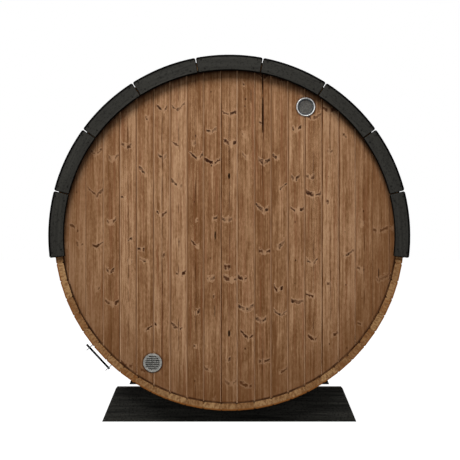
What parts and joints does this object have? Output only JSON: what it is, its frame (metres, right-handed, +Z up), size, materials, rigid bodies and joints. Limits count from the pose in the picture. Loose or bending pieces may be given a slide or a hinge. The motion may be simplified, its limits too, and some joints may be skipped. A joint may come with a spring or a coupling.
{
  "type": "barrel sauna",
  "caption": "Round wooden sauna cabin built as a lying barrel of staves on two cradles, with boarded end walls, arch trim, sheet roof and a glazed door.",
  "frame": {"origin": "on the ground, below the middle of the barrel", "axes": "+Z up, +Y along the barrel's axis towards the wall with the doorway, +X to the right when the rear wall is looked at from outside"},
  "size_m": [2.062, 1.8566, 2.1238],
  "materials": {
    "thermo_wood": "planed heat-treated softwood, oiled",
    "black_wood": "planed softwood, black stain",
    "roofing": "mineral-faced bitumen sheet",
    "steel": "stainless, rolled",
    "vent_light": "satin",
    "vent_mesh": "dark grey, matt",
    "vent_grey": "satin grey",
    "tinted_glass": "clear, bronze tint"
  },
  "bodies": {
    "root": {"staves_01": "thermo_wood", "staves_02": "thermo_wood", "staves_03": "thermo_wood", "staves_04": "thermo_wood", "staves_05": "thermo_wood", "staves_06": "thermo_wood", "staves_07": "thermo_wood", "staves_08": "thermo_wood", "staves_09": "thermo_wood", "staves_10": "thermo_wood", "staves_11": "thermo_wood", "staves_12": "thermo_wood", "rear_wall": "thermo_wood", "front_wall_left": "thermo_wood", "front_wall_right": "thermo_wood", "front_wall_over_door": "thermo_wood", "front_wall_under_door": "thermo_wood", "door_frame": "thermo_wood", "door_leaf": "thermo_wood", "floor_bearers": "thermo_wood", "floor_slats": "thermo_wood", "upper_vent_rim": "vent_light", "upper_vent_mesh": "vent_mesh", "lower_vent": "vent_grey", "rear_trim": "black_wood", "front_trim": "black_wood", "roof_left": "roofing", "roof_right": "roofing", "roof_ridge": "roofing", "rear_hoop": "steel", "front_hoop": "steel", "rear_tensioner": "steel", "front_tensioner": "steel", "rear_cradle": "black_wood", "front_cradle": "black_wood", "door_glass": "tinted_glass", "door_hinges": "steel", "door_handles": "black_wood"}
  },
  "joints": []
}
